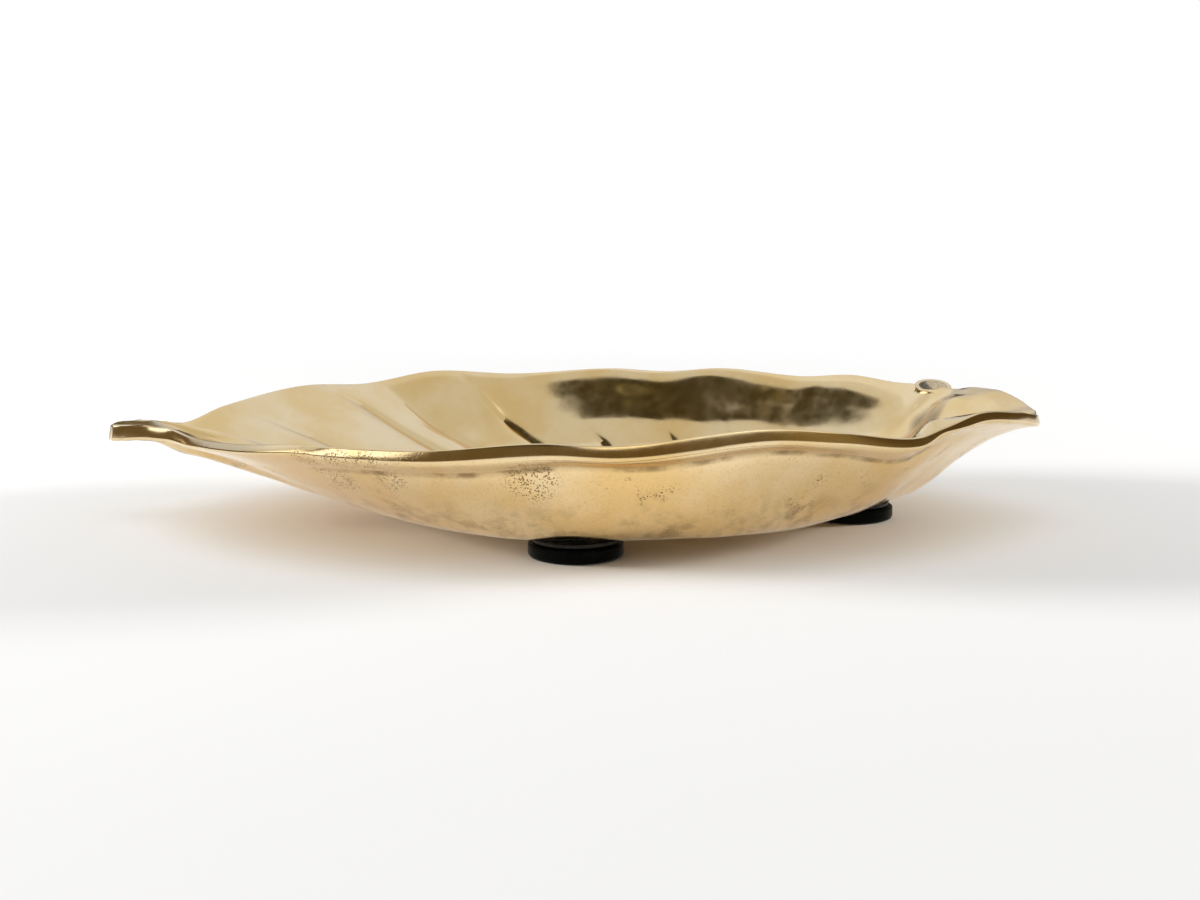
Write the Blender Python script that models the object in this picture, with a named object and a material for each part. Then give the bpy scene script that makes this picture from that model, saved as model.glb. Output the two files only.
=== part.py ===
"""A cast brass leaf dish for trinkets, standing on three stick-on rubber feet.

Units are metres and +Z is up. The origin lies on the table, under the middle of the dish.
+X points from the leaf's tip to its rounded base, and +Y to the far side, where the stem is.
The blade is one sheet of metal: rays run out from the midrib over the floor and up the wall
to the rim, so that the veins follow the rays. It gets its wall by solidifying the sheet. The
veins and the midrib are then worked into the inner face alone, the rim's edge is filed off and
a shallow groove is cut under the lip that is left.
"""
import math

import bmesh
import bpy
from mathutils import Matrix, Vector

# The blade
TRAY_LENGTH = 0.170
TRAY_WIDTH = 0.1048
RIM_HEIGHT = 0.022            # above the table, before the waves
WALL = 0.0021
RIM_ROUND = 0.0004            # of the rim's inner corner
RIM_BREAK = 0.0005            # of its outer corner
FLOOR_LENGTH = 0.1065
FLOOR_WIDTH = 0.078
FLOOR_SHIFT = 0.0085          # the floor's middle lies this far towards the base
CORNER_ROUND = 0.0050         # reach of the bend between floor and wall
DROOP = 0.0026                # swelling of the near rim beside the stem, where it turns outwards
LIP_FALL = 0.0041             # from the rim's top to the groove below it, on the outer face
LIP_DEPTH = 0.0006

# The blunt tip of the leaf, which is a thicker bar
TIP_THICKNESS = 0.0030
TIP_REACH = 0.020

# Veins and midrib, on the inner face
VEIN_DEPTH = 0.0014
VEIN_SHARPNESS = (2.0, 7.0)   # of the pillow's curve, and of the line cut into the vein
MIDRIB_RISE = 0.0015
MIDRIB_WIDTH = 0.0075
JUNCTION_REACH = 0.022        # the veins die away within this distance of the junction

# The stem's root, a swelling on the inner wall, and its cut stub on the rim
ROOT_RISE = 0.0017
ROOT_WIDTH = 0.0058
STEM_RIM_SHARE = 0.8664       # of the way round the rim, from the tip to the base
STEM_OUT = 0.0004             # from the rim's inner line to the stub's middle
STEM_DIAMETER = 0.0072
STEM_FOOT_DIAMETER = 0.0040
STEM_LENGTH = 0.0050
STEM_LIFT = -0.0001           # of the cut face's middle over the rim's top
STEM_TILT = math.radians(15)
STEM_LEAN_SHARE = 0.9         # how far inwards the stub's foot lies, for its depth
STEM_EDGE = 0.0006

# Feet, stuck on with adhesive discs
FOOT_DIAMETER = 0.0160
FOOT_THICKNESS = 0.0024
FOOT_EDGE = 0.0007
ADHESIVE_DIAMETER = 0.0145
ADHESIVE_THICKNESS = 0.0005
SEAT_GAP = 0.0003

# Heights that follow from the feet
UNDERSIDE = FOOT_THICKNESS + ADHESIVE_THICKNESS + 2 * SEAT_GAP
FLOOR_TOP = UNDERSIDE + WALL

# Places on the floor: shares of its half length and of its half width, from its middle
JUNCTION_SHARES = (0.723, 0.154)
MIDRIB_START_SHARE = -0.723   # along the floor, where the midrib leaves it for the tip
FRONT_FOOT_SHARES = (-0.150, -0.830)
BACK_FOOT_SHARES = (-0.498, 0.692)
BASE_FOOT_SHARES = (0.789, 0.0)

# Half of the rim seen from above, from the tip round to the base: shares of the half length
# and of the half width
RIM_SHARES = (
    (-0.999, 0.000), (-0.996, 0.040), (-0.980, 0.058), (-0.930, 0.062), (-0.860, 0.105),
    (-0.780, 0.280), (-0.700, 0.464), (-0.605, 0.634), (-0.490, 0.776), (-0.350, 0.892),
    (-0.185, 0.963), (-0.018, 0.983), (0.150, 0.964), (0.315, 0.914), (0.480, 0.828),
    (0.640, 0.694), (0.760, 0.552), (0.855, 0.392), (0.930, 0.244), (0.978, 0.112),
    (0.992, 0.000),
)
# Half of the floor's edge, from its tip end to its base end, in the same way
FLOOR_SHARES = (
    (-1.000, 0.000), (-0.940, 0.160), (-0.840, 0.350), (-0.720, 0.560), (-0.570, 0.780),
    (-0.380, 0.950), (-0.170, 1.000), (0.100, 0.990), (0.330, 0.930), (0.530, 0.780),
    (0.700, 0.560), (0.820, 0.360), (0.930, 0.170), (1.000, 0.000),
)
# Rim heights at the crests and dips of its waves: shares of the half length and of RIM_HEIGHT
NEAR_RIM_SHARES = (
    (-1.00, 0.795), (-0.92, 0.805), (-0.80, 0.772), (-0.68, 0.815), (-0.50, 0.900),
    (-0.28, 0.922), (-0.05, 0.995), (0.07, 0.974), (0.35, 1.068), (0.50, 1.012),
    (0.66, 0.922), (0.71, 0.957), (0.81, 1.045), (0.91, 0.985), (0.965, 0.920),
    (1.00, 0.875),
)
FAR_RIM_SHARES = (
    (-1.00, 0.795), (-0.93, 0.800), (-0.87, 0.765), (-0.79, 0.873), (-0.64, 0.955),
    (-0.53, 0.922), (-0.35, 1.005), (-0.16, 0.957), (0.09, 1.005), (0.21, 0.985),
    (0.36, 1.028), (0.54, 0.982), (0.66, 1.022), (0.76, 0.985), (0.80, 0.990),
    (0.865, 0.980), (0.905, 1.015), (0.94, 1.016), (0.975, 0.965), (1.00, 0.875),
)
# How far ahead of its place on the rim a vein crosses the floor's edge, as a share of the way
SWEEP_SHARE = 0.05
# How steeply the wall leaves the floor and meets the rim, at shares of the way round the rim
# from tip to base: 1 is a straight wall
WALL_START_SHARES = ((0.0, 1.30), (0.20, 1.00), (0.45, 0.40), (0.62, 0.45), (0.80, 0.75),
                     (0.92, 1.60), (1.0, 2.05))
WALL_END_SHARES = ((0.0, 0.60), (0.25, 0.70), (0.50, 0.55), (0.80, 0.55), (0.92, 0.25),
                   (1.0, 0.05))
# The far wall's profile: shares of its run and of its height, and where round the rim it holds
FAR_WALL_SHARES = ((0.0, 0.0), (0.15, 0.075), (0.30, 0.190), (0.50, 0.370), (0.70, 0.645),
                   (0.86, 0.880), (0.94, 0.962), (1.0, 1.0))
FAR_WALL_REACH = ((0.0, 0.0), (0.20, 0.0), (0.34, 1.0), (0.86, 1.0), (0.94, 0.0), (1.0, 0.0))
# Where along the near rim it turns outwards, and the swelling's profile up the wall
DROOP_SHARES = ((-1.00, 0.0), (0.58, 0.0), (0.64, 0.08), (0.673, 0.42), (0.715, 1.0),
                (0.755, 0.60), (0.79, 0.25), (0.85, 0.0), (1.00, 0.0))
DROOP_WALL_SHARES = ((0.0, 0.0), (0.50, 0.0), (0.68, 0.40), (0.84, 1.0), (0.92, 0.80),
                     (1.0, 0.0))
# How far the rim's edge face leans out, as a share of a right angle, along the half length
NEAR_LEAN_SHARES = ((-1.00, 0.15), (-0.86, 0.17), (-0.74, 0.48), (-0.52, 0.50), (-0.40, 0.20),
                    (-0.20, 0.14), (0.60, 0.16), (0.80, 0.20), (1.00, 0.10))
FAR_LEAN_SHARES = ((-1.00, 0.08), (-0.84, 0.10), (-0.60, 0.30), (1.00, 0.30))
# How much of the filing reaches the rim, along the half length: at the ends the wall is flat
FILED_END_SHARES = ((-1.00, 0.0), (-0.88, 0.0), (-0.78, 1.0), (0.94, 1.0), (0.985, 0.2),
                    (1.00, 0.0))
FILED_SHARE = 0.5             # how far down the outer face the filed rim shifts its points
# The lip under the rim and the groove below it: shares of the groove's fall and of its depth
LIP_SHARES = ((0.0, 0.0), (0.40, 0.0), (0.66, -0.45), (1.0, 1.0), (1.40, 0.35), (1.9, 0.0))
LIP_REACH_SHARES = ((-1.00, 0.0), (-0.84, 0.0), (-0.66, 0.6), (-0.40, 1.0), (0.70, 1.0),
                    (0.90, 0.3), (1.00, 0.0))
# Where the veins meet the rim, and where their rays leave the midrib
VEIN_SHARES = (0.0, 0.120, 0.235, 0.290, 0.375, 0.460, 0.555, 0.635, 0.710, 0.790, 0.865,
               0.935, 1.0)
ROOT_SHARES = ((0.0, 0.0), (0.15, 0.12), (0.35, 0.45), (0.55, 0.82), (0.68, 1.0), (1.0, 1.0))
# Depth of a vein on its way up the wall, as shares of its depth: towards the tip it reaches
# the rim, towards the base it dies away half way
VEIN_CLIMB_SHARES = ((0.0, 1.0), (0.6, 0.75), (0.85, 0.40), (1.0, 0.0))
LOW_CLIMB_SHARES = ((0.0, 1.0), (0.2, 0.80), (0.45, 0.10), (0.6, 0.0), (1.0, 0.0))
LOW_CLIMB_START_SHARE = 0.39  # of the way round the rim
LOW_CLIMB_RUN_SHARE = 0.07
# The swollen root on the inner wall, from its end to the rim beside the stem: shares of the
# half length and of the half width
ROOT_END_SHARES = (0.752, 0.300)
ROOT_TOP_SHARES = (0.860, 0.350)
# Height of the root on its way, as shares of its rise
ROOT_RUN_SHARES = ((0.0, 0.60), (0.35, 1.0), (0.75, 0.60), (1.0, 0.05))
STEM_LINE_SHARE = 0.25        # height of the stem's line from junction to stub, of the rise
# How far a swelling is ahead of its soft start, as a share of its length
SWELL_START_SHARE = 0.5

# Rows of points over the floor and up the wall
FLOOR_STEP_SHARES = (0.0, 0.20, 0.42, 0.63, 0.80, 0.91)
WALL_STEP_SHARES = (0.0, 0.08, 0.17, 0.27, 0.38, 0.49, 0.60, 0.70, 0.78, 0.85, 0.91, 1.0)
RAYS_PER_VEIN = 5
TIP_RAYS = 11                 # before the first vein, round the tip
SHARP_ANGLE = math.radians(40)
MERGE_SHARE = 0.001           # points closer than this share of the wall become one
LAYERS = ("relief", "climb", "lean", "outside")
CURVE_STEPS = 24
ROUND_SIDES = 40
STEM_SIDES = 24


def clear_scene():
    """Removes what the file holds."""
    for thing in list(bpy.data.objects):
        bpy.data.objects.remove(thing, do_unlink=True)


def new_collection(name):
    """Adds a collection to the scene."""
    group = bpy.data.collections.new(name)
    bpy.context.scene.collection.children.link(group)
    return group


def new_material(name, colour, roughness, metallic):
    """One plain finish."""
    material = bpy.data.materials.new(name)
    material.use_nodes = True
    shader = material.node_tree.nodes["Principled BSDF"]
    shader.inputs["Base Color"].default_value = (*colour, 1)
    shader.inputs["Roughness"].default_value = roughness
    shader.inputs["Metallic"].default_value = metallic
    return material


def add_piece(name, mesh, group, material):
    """Puts a finished mesh into the scene as one named piece."""
    piece = bpy.data.objects.new(name, mesh)
    piece.data.materials.append(material)
    group.objects.link(piece)
    return piece


def eased(share):
    """A soft step from 0 to 1."""
    share = min(max(share, 0), 1)
    return share * share * (3 - 2 * share)


def table_value(table, place):
    """Reads a table with a smooth curve that never overshoots its stations."""
    places = [row[0] for row in table]
    values = [row[1] for row in table]
    last = len(table) - 1
    place = min(max(place, places[0]), places[last])
    rises = [(values[i + 1] - values[i]) / (places[i + 1] - places[i]) for i in range(last)]
    slopes = [rises[0]]
    for before, after in zip(rises, rises[1:]):
        slopes.append(2 * before * after / (before + after) if before * after > 0 else 0)
    slopes.append(rises[-1])
    here = max(i for i in range(last) if places[i] <= place)
    span = places[here + 1] - places[here]
    s = (place - places[here]) / span
    start = values[here] + span * slopes[here] * s * (1 - s) ** 2
    end = (values[here + 1] - values[here]) * s * s * (3 - 2 * s)
    return start + end - span * slopes[here + 1] * s * s * (1 - s)


def outline_curve(shares, length, width, shift):
    """Half of an outline as a fine chain of points, with the way run so far at each."""
    marks = [Vector((shift + length / 2 * x, width / 2 * y)) for x, y in shares]
    before = Vector((marks[1].x, -marks[1].y))
    after = Vector((marks[-2].x, -marks[-2].y))
    marks = [before, *marks, after]
    chain = []
    for a, b, c, d in zip(marks, marks[1:], marks[2:], marks[3:]):
        for step in range(CURVE_STEPS):
            s = step / CURVE_STEPS
            bend = (2 * a - 5 * b + 4 * c - d) * s * s + (3 * b - a - 3 * c + d) * s ** 3
            chain.append((2 * b + (c - a) * s + bend) / 2)
    chain.append(marks[-2])
    run = [0]
    for start, end in zip(chain, chain[1:]):
        run.append(run[-1] + (end - start).length)
    return chain, run


def along_outline(curve, share):
    """The point a share of the way round from the tip to the base."""
    chain, run = curve
    goal = share * run[-1]
    for i in range(1, len(chain)):
        if run[i] >= goal:
            part = (goal - run[i - 1]) / (run[i] - run[i - 1])
            return chain[i - 1].lerp(chain[i], part)
    return chain[-1]


def floor_place(shares):
    """A plan point given by its shares of the floor's half length and half width."""
    return Vector((FLOOR_SHIFT + shares[0] * FLOOR_LENGTH / 2, shares[1] * FLOOR_WIDTH / 2))


JUNCTION = floor_place(JUNCTION_SHARES)
MIDRIB_START = floor_place((MIDRIB_START_SHARE, 0))


def midrib_y(x):
    """The midrib bends from the tip's line to the junction, which lies towards the stem."""
    return JUNCTION.y * eased((x - MIDRIB_START.x) / (JUNCTION.x - MIDRIB_START.x))


def ray_points(curves, share, side):
    """Where one ray leaves the midrib, meets the floor's edge and ends at the rim."""
    rim_curve, floor_curve = curves
    rim = along_outline(rim_curve, share)
    edge = along_outline(floor_curve, share + SWEEP_SHARE * math.sin(math.pi * share))
    root = MIDRIB_START.lerp(JUNCTION, table_value(ROOT_SHARES, share))
    root.y = midrib_y(root.x)
    return root, Vector((edge.x, side * edge.y)), Vector((rim.x, side * rim.y))


def stem_place():
    """Where the stub stands: on the far rim, over the middle of the wall."""
    rim_curve = outline_curve(RIM_SHARES, TRAY_LENGTH, TRAY_WIDTH, 0)
    before, here, after = (along_outline(rim_curve, STEM_RIM_SHARE + step)
                           for step in (-MERGE_SHARE, 0, MERGE_SHARE))
    along = (after - before).normalized()
    return here + STEM_OUT * Vector((-along.y, along.x))


def rim_height(x, side):
    """The waved top of the rim."""
    table = FAR_RIM_SHARES if side > 0 else NEAR_RIM_SHARES
    return RIM_HEIGHT * table_value(table, x / (TRAY_LENGTH / 2))


def wall_rise(share, climb, side):
    """The share of the wall's height at a share of the way from the floor to the rim."""
    start = table_value(WALL_START_SHARES, share)
    end = table_value(WALL_END_SHARES, share)
    straight = climb * climb * (3 - 2 * climb)
    rise = straight + start * climb * (1 - climb) ** 2 - end * climb * climb * (1 - climb)
    if side > 0:
        rise += (table_value(FAR_WALL_SHARES, climb) - rise) * table_value(FAR_WALL_REACH, share)
    return max(rise, 0)


def softened(way):
    """The way past the floor's edge, eased so that the wall leaves the floor in a soft bend."""
    if way >= CORNER_ROUND:
        return way
    return max(way + CORNER_ROUND, 0) ** 2 / (4 * CORNER_ROUND)


def vein_groove(phase):
    """1 in a vein, falling to 0 on the pillow between two veins."""
    powers = [abs(2 * phase - 1) ** sharpness for sharpness in VEIN_SHARPNESS]
    return sum(powers) / len(powers)


def vein_climb(share, climb):
    """How much of a vein's depth is left on its way up the wall."""
    full = table_value(VEIN_CLIMB_SHARES, climb)
    low = table_value(LOW_CLIMB_SHARES, climb)
    return full + (low - full) * eased((share - LOW_CLIMB_START_SHARE) / LOW_CLIMB_RUN_SHARE)


def vein_fade(plan, share):
    """Veins die away towards the tip's bar and the junction."""
    past_first_ray = 2 * share / VEIN_SHARES[1] - 1
    return eased(past_first_ray) * eased((plan - JUNCTION).length / JUNCTION_REACH)


def sheet_columns():
    """Every ray: its share of the rim, its phase between two veins, and its side."""
    rows = []
    for first, last in zip(VEIN_SHARES, VEIN_SHARES[1:]):
        count = RAYS_PER_VEIN if first else TIP_RAYS
        for step in range(count):
            phase = step / count
            rows.append((first + (last - first) * phase, phase))
    rows.append((1.0, 0.0))
    return [(*row, 1) for row in rows] + [(*row, -1) for row in reversed(rows[1:-1])]


def build_sheet():
    """The inner face as an open sheet. Each point's relief, its climb up the wall, its rim's
    lean and its row and column are kept in layers, which its twin on the outer face gets too."""
    curves = (outline_curve(RIM_SHARES, TRAY_LENGTH, TRAY_WIDTH, 0),
              outline_curve(FLOOR_SHARES, FLOOR_LENGTH, FLOOR_WIDTH, FLOOR_SHIFT))
    stem = stem_place()
    columns = sheet_columns()
    rays = [ray_points(curves, share, side) for share, _, side in columns]
    steps = [(0, share) for share in FLOOR_STEP_SHARES]
    steps += [(1, share) for share in WALL_STEP_SHARES]
    sheet = bmesh.new()
    bmesh.ops.create_grid(sheet, x_segments=len(columns), y_segments=len(steps) - 1,
                          size=TRAY_LENGTH / 2)
    relief, climb, lean, _ = (sheet.verts.layers.float.new(name) for name in LAYERS)
    row_layer, column_layer = (sheet.verts.layers.int.new(name) for name in ("row", "column"))
    sheet.verts.ensure_lookup_table()
    width = len(columns) + 1
    for index, vert in enumerate(sheet.verts):
        column = index % width % len(columns)
        share, phase, side = columns[column]
        root, edge, rim = rays[column]
        zone, step = steps[index // width]
        depth = VEIN_DEPTH * vein_groove(phase)
        if zone == 0:
            plan = root.lerp(edge, step)
            depth *= eased(step)
        else:
            plan = edge.lerp(rim, step)
            depth *= vein_climb(share, step)
        way = (plan - edge).length * (1 if zone else -1)
        place = rim.x / (TRAY_LENGTH / 2)
        top = rim_height(rim.x, side)
        height = wall_height(share, side, softened(way) / (rim - edge).length, place, top)
        vert.co = (plan.x, plan.y, height)
        vert[relief] = relief_at(plan, stem) - depth * vein_fade(plan, share)
        vert[climb] = zone * step
        leans = FAR_LEAN_SHARES if side > 0 else NEAR_LEAN_SHARES
        vert[lean] = math.pi / 2 * table_value(leans, place)
        vert[row_layer], vert[column_layer] = index // width, column
    bmesh.ops.remove_doubles(sheet, verts=sheet.verts, dist=WALL * MERGE_SHARE)
    bmesh.ops.recalc_face_normals(sheet, faces=sheet.faces)
    if sum(face.normal.z for face in sheet.faces) < 0:
        bmesh.ops.reverse_faces(sheet, faces=sheet.faces)
    return sheet


def wall_height(share, side, climb, place, top):
    """Height of the inner face, with the near rim turned outwards beside the stem."""
    height = FLOOR_TOP + (top - FLOOR_TOP) * wall_rise(share, climb, side)
    if side < 0:
        height += DROOP * table_value(DROOP_SHARES, place) * table_value(DROOP_WALL_SHARES, climb)
    return height


def along_run(plan, start, end):
    """How far a point lies along a straight run, and away from it."""
    way = end - start
    along = min(max((plan - start).dot(way) / way.length_squared, 0), 1)
    return along, (plan - start - way * along).length


def relief_at(plan, stem):
    """The raised midrib on the floor, and the stem's line and swollen root on the wall."""
    end, top = (Vector((x * TRAY_LENGTH / 2, y * TRAY_WIDTH / 2))
                for x, y in (ROOT_END_SHARES, ROOT_TOP_SHARES))
    along, away = along_run(plan, end, top)
    root = ROOT_RISE * (1 - eased(away / ROOT_WIDTH)) * table_value(ROOT_RUN_SHARES, along)
    along, away = along_run(plan, JUNCTION, stem)
    line = ROOT_RISE * STEM_LINE_SHARE * (1 - eased(away / ROOT_WIDTH)) * (1 - eased(along))
    from_midrib = abs(plan.y - midrib_y(plan.x))
    if plan.x > JUNCTION.x:
        from_midrib = (plan - JUNCTION).length
    rib = MIDRIB_RISE * (1 - eased(from_midrib / MIDRIB_WIDTH))
    rib *= eased((plan.x + TRAY_LENGTH / 2) / TIP_REACH - SWELL_START_SHARE)
    return max(root, line, rib)


def file_rim(chain, rim_point, out, lean, share):
    """Cuts the outer face off at the rim's edge face, which goes down from the rim's inner
    line and leans out, and spreads the outer points over what is left."""
    across = out * math.cos(lean) + Vector((0, 0, math.sin(lean)))
    filed = chain[int(len(chain) * FILED_SHARE):]
    places = [vert.co.copy() for vert in filed]
    over = [(place - rim_point).dot(across) for place in places]
    last = len(places) - 1
    if share > 0 and over[last] > 0:
        over = [value - (1 - share) * over[-1] for value in over]
        while last > 1 and over[last - 1] > 0:
            last -= 1
        cut = last - 1 + over[last - 1] / (over[last - 1] - over[last])
        for i, vert in enumerate(filed):
            where = cut * i / (len(places) - 1)
            below = min(int(where), len(places) - 2)
            vert.co = places[below].lerp(places[below + 1], where - below)
    left = share * (filed[-1].co - rim_point).dot(across)
    for i, vert in enumerate(filed):
        vert.co -= across * left * eased(i / (len(filed) - 1))


def thicken_sheet(sheet):
    """Gives the sheet its wall, works the relief into the inner face, files the rim's edge,
    cuts the groove under the lip and rounds the rim."""
    relief, climb, lean, outside = (sheet.verts.layers.float[name] for name in LAYERS)
    row_layer, column_layer = (sheet.verts.layers.int[name] for name in ("row", "column"))
    inside = set(sheet.verts)
    bmesh.ops.solidify(sheet, geom=sheet.faces, thickness=WALL)
    rims = {}
    chains = {}
    for vert in sheet.verts:
        if vert in inside:
            vert.co.z += vert[relief]
            if vert[climb] == 1:
                rims[vert[column_layer]] = vert
            continue
        at_tip = eased(1 - (vert.co.x + TRAY_LENGTH / 2) / TIP_REACH)
        vert.co.z -= (TIP_THICKNESS - WALL) * at_tip
        vert[outside] = 1
        if vert[climb] > 0:
            chains.setdefault(vert[column_layer], []).append(vert)
    for column, chain in chains.items():
        chain.sort(key=lambda vert: vert[row_layer])
        rim = rims[column]
        along = rims[(column + 1) % len(rims)].co - rims[(column - 1) % len(rims)].co
        out = Vector((along.y, -along.x, 0)).normalized()
        if out.dot(rim.co - chain[0].co) < 0:
            out = -out
        place = rim.co.x / (TRAY_LENGTH / 2)
        file_rim(chain, rim.co, out, rim[lean], table_value(FILED_END_SHARES, place))
        depth = LIP_DEPTH * table_value(LIP_REACH_SHARES, place)
        for vert in chain:
            fall = (rim.co.z - vert.co.z) / LIP_FALL
            if fall < LIP_SHARES[-1][0]:
                vert.co -= out * depth * table_value(LIP_SHARES, fall)
    rim_faces = {f for f in sheet.faces if 0 < sum(v in inside for v in f.verts) < 4}
    corners = [e for e in sheet.edges if sum(f in rim_faces for f in e.link_faces) == 1]
    for offset, side in ((RIM_ROUND, 0), (RIM_BREAK, 1)):
        ring = [e for e in corners if e.is_valid and round(e.verts[0][outside]) == side]
        bmesh.ops.bevel(sheet, geom=ring, offset=offset, offset_type="OFFSET", segments=2,
                        profile=0.5, affect="EDGES", material=-1)


def stem_stub():
    """The cut stem: a short tapered stub on the rim, its sawn face tilted to the front."""
    stub = bmesh.new()
    bmesh.ops.create_cone(stub, cap_ends=True, segments=STEM_SIDES,
                          radius1=STEM_FOOT_DIAMETER / 2, radius2=STEM_DIAMETER / 2,
                          depth=STEM_LENGTH)
    ends = [edge for edge in stub.edges if any(len(f.verts) > 4 for f in edge.link_faces)]
    bmesh.ops.bevel(stub, geom=ends, offset=STEM_EDGE, offset_type="OFFSET", segments=2,
                    profile=0.5, affect="EDGES", material=-1)
    bmesh.ops.translate(stub, verts=stub.verts, vec=(0, 0, -STEM_LENGTH / 2))
    place = stem_place()
    face = Matrix.Translation((*place, rim_height(place.x, 1) + STEM_LIFT))
    turn = Matrix.Rotation(STEM_TILT, 4, "X")
    lean = Matrix.Shear("XY", 4, (0, STEM_LEAN_SHARE))
    bmesh.ops.transform(stub, matrix=face @ turn @ lean, verts=stub.verts)
    return stub


def mesh_from(shape, name):
    """Turns a finished shape into a mesh, shaded smooth but for its sharp edges."""
    mesh = bpy.data.meshes.new(name)
    shape.to_mesh(mesh)
    shape.free()
    mesh.shade_smooth()
    mesh.set_sharp_from_angle(angle=SHARP_ANGLE)
    return mesh


def add_tray(parts, cutters, brass):
    """The casting: the blade with the stem's stub joined to it."""
    sheet = build_sheet()
    thicken_sheet(sheet)
    tray = add_piece("leaf_tray", mesh_from(sheet, "leaf_tray"), parts, brass)
    stub = add_piece("stem_stub_guide", mesh_from(stem_stub(), "stem_stub"), cutters, brass)
    stub.hide_render = True
    stub.display_type = "WIRE"
    join = tray.modifiers.new("stem stub", "BOOLEAN")
    join.operation = "UNION"
    join.solver = "EXACT"
    join.object = stub


def add_disc(name, centre, diameter, bottom, thickness, edge, group, material):
    """A flat round piece with softened edges, lying level."""
    disc = bmesh.new()
    bmesh.ops.create_cone(disc, cap_ends=True, segments=ROUND_SIDES, radius1=diameter / 2,
                          radius2=diameter / 2, depth=thickness)
    ends = [e for e in disc.edges if any(len(f.verts) > 4 for f in e.link_faces)]
    if edge:
        bmesh.ops.bevel(disc, geom=ends, offset=edge, offset_type="OFFSET", segments=2,
                        profile=0.5, affect="EDGES", material=-1)
    piece = add_piece(name, mesh_from(disc, name), group, material)
    piece.location = (*centre, bottom + thickness / 2)


def main():
    """Builds the whole dish."""
    clear_scene()
    parts = new_collection("leaf_trinket_tray")
    cutters = new_collection("guides")
    brass = new_material("polished_brass", (0.78, 0.60, 0.32), 0.25, 1.0)
    rubber = new_material("black_rubber", (0.012, 0.014, 0.012), 0.45, 0.0)
    adhesive = new_material("clear_adhesive", (0.35, 0.34, 0.30), 0.50, 0.0)
    add_tray(parts, cutters, brass)
    for name, shares in (("front", FRONT_FOOT_SHARES), ("back", BACK_FOOT_SHARES),
                         ("base", BASE_FOOT_SHARES)):
        centre = floor_place(shares)
        add_disc(name + "_foot", centre, FOOT_DIAMETER, 0, FOOT_THICKNESS, FOOT_EDGE, parts,
                 rubber)
        add_disc(name + "_adhesive", centre, ADHESIVE_DIAMETER, FOOT_THICKNESS + SEAT_GAP,
                 ADHESIVE_THICKNESS, 0, parts, adhesive)


if __name__ == "__main__":
    main()
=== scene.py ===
"""A cast brass leaf dish for trinkets, on three stick-on rubber feet, in a pale studio.

The file is laid out as an add-on: each piece, and the studio, has an operator of its own, and
the sizes and colours that a user would change are properties of the scene. Lengths are metres,
+Z is up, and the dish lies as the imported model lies: tip at -X, rounded base at +X, camera
looking along +Y.
"""
import math

import bmesh
import bpy
from bpy.props import FloatProperty, FloatVectorProperty, IntProperty, PointerProperty
from mathutils import Matrix, Vector, noise


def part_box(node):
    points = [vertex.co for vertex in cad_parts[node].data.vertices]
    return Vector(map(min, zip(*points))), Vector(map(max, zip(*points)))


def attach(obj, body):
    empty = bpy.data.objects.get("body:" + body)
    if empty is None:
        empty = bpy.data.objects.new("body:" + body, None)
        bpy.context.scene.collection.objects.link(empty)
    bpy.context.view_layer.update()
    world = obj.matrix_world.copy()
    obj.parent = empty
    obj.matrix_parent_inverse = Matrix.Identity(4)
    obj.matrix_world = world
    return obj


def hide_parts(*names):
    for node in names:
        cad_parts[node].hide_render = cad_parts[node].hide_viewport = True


bl_info = {
    "name": "Brass leaf dish",
    "version": (1, 0, 0),
    "blender": (4, 5, 0),
    "location": "View3D > Sidebar > Leaf dish",
    "description": "A cast brass leaf dish on rubber feet, with the studio that it stands in",
    "category": "Add Mesh",
}

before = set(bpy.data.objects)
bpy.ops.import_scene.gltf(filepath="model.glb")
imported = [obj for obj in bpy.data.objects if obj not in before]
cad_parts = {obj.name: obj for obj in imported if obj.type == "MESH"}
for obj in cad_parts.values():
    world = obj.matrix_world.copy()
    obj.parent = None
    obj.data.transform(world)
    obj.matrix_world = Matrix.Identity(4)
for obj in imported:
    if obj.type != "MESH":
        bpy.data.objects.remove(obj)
FOOT_NAMES = ("front", "back", "base")

# Half of the rim seen from above, from the tip round to the base: shares of the half length
# and of the half width
RIM_SHARES = (
    (-0.999, 0.000), (-0.996, 0.040), (-0.980, 0.058), (-0.930, 0.062), (-0.860, 0.105),
    (-0.780, 0.280), (-0.700, 0.464), (-0.605, 0.634), (-0.490, 0.776), (-0.350, 0.892),
    (-0.185, 0.963), (-0.018, 0.983), (0.150, 0.964), (0.315, 0.914), (0.480, 0.828),
    (0.640, 0.694), (0.760, 0.552), (0.855, 0.392), (0.930, 0.244), (0.978, 0.112),
    (0.992, 0.000),
)
# Half of the floor's edge, from its tip end to its base end, in the same way
FLOOR_SHARES = (
    (-1.000, 0.000), (-0.940, 0.160), (-0.840, 0.350), (-0.720, 0.560), (-0.570, 0.780),
    (-0.380, 0.950), (-0.170, 1.000), (0.100, 0.990), (0.330, 0.930), (0.530, 0.780),
    (0.700, 0.560), (0.820, 0.360), (0.930, 0.170), (1.000, 0.000),
)
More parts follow.
